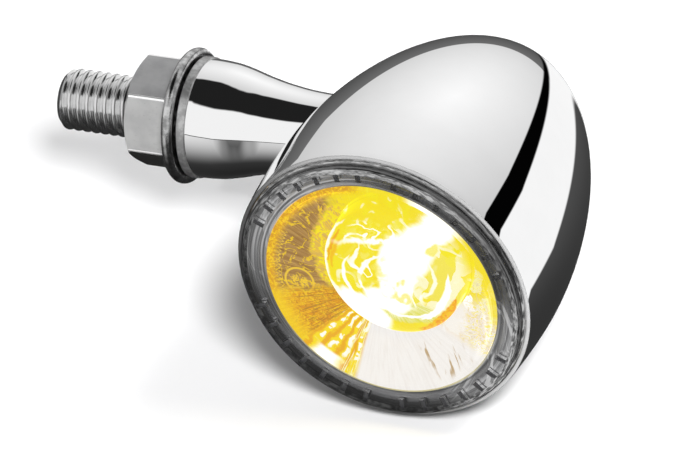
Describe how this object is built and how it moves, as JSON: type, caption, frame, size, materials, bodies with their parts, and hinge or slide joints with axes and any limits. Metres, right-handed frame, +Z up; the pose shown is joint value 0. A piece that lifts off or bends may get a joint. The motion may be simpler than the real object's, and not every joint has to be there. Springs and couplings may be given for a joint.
{
  "type": "turn signal indicator",
  "caption": "Bullet-shaped turn signal lamp with a clear round lens over amber optics, on a waisted stalk with a hollow threaded stud, lock washer and hex nut.",
  "frame": {"origin": "centre of the stalk's seat face, on the axis of the threaded stud", "axes": "+X along the stalk from the seat face to the lamp head, the stud pointing along -X; the lamp shines along -Y; +Z up as worn on the vehicle"},
  "size_m": [0.0767, 0.0493, 0.0406],
  "materials": {
    "housing_chrome": "mirror polished",
    "stalk_chrome": "mirror polished, satin collar",
    "washer_steel": "polished",
    "zinc_steel": "satin zinc plate",
    "clear_lens": "clear gloss",
    "clear_optic": "clear gloss",
    "plated_plastic": "plated",
    "mirror_coat": "metallised",
    "black_plastic": "satin",
    "white_plastic": "satin",
    "black_rubber": "matt",
    "thermal_rubber": "matt",
    "amber_silicone": "glowing amber",
    "white_ceramic": "matt",
    "white_board": "white solder mask on aluminium",
    "bare_aluminium": "as machined",
    "brass_standoff": "as turned",
    "green_board": "solder mask",
    "ferrite": "matt",
    "capacitor_can": "sleeved",
    "red_insulation": "extruded",
    "core_insulation": "extruded"
  },
  "bodies": {
    "stalk": {"stalk": "stalk_chrome", "threaded_stud": "zinc_steel", "spigot_seal": "black_rubber", "spigot_washer": "zinc_steel", "spigot_nut": "zinc_steel", "cable_sheath": "black_rubber", "cable_cores": "core_insulation"},
    "head": {"housing": "housing_chrome", "front_lens": "clear_lens", "bezel_ring": "plated_plastic", "toothed_ring": "black_plastic", "reflector": "mirror_coat", "lens_gasket": "black_rubber", "collimator_lens": "clear_optic", "collimator_holder": "white_plastic", "led_dome": "amber_silicone", "led_package": "white_ceramic", "led_board": "white_board", "thermal_pad": "thermal_rubber", "heat_sink": "bare_aluminium", "board_screws": "zinc_steel", "heat_sink_screws": "zinc_steel", "driver_standoffs": "brass_standoff", "driver_board": "green_board", "driver_screws": "zinc_steel", "driver_choke": "ferrite", "driver_capacitor": "capacitor_can", "driver_chip": "black_plastic", "cable_socket": "white_plastic", "led_leads": "red_insulation"},
    "washer": {"lock_washer": "washer_steel"},
    "nut": {"hex_nut": "zinc_steel"}
  },
  "joints": [
    {"name": "head_aim", "type": "hinge", "parent": "stalk", "child": "head", "pos_m": [0.0254, 0, 0], "axis": [1, 0, 0], "range_deg": [-45, 45]},
    {"name": "washer_slide", "type": "slide", "parent": "stalk", "child": "washer", "axis": [-1, 0, 0], "range_m": [0, 0.01]},
    {"name": "nut_turn", "type": "hinge", "parent": "washer", "child": "nut", "pos_m": [-0.0049, 0, 0], "axis": [-1, 0, 0], "range_deg": [0, 2880]}
  ],
  "couplings": [
    {"joint": "washer_slide", "follows": "nut_turn", "m_per_rad": 0.00019894}
  ]
}
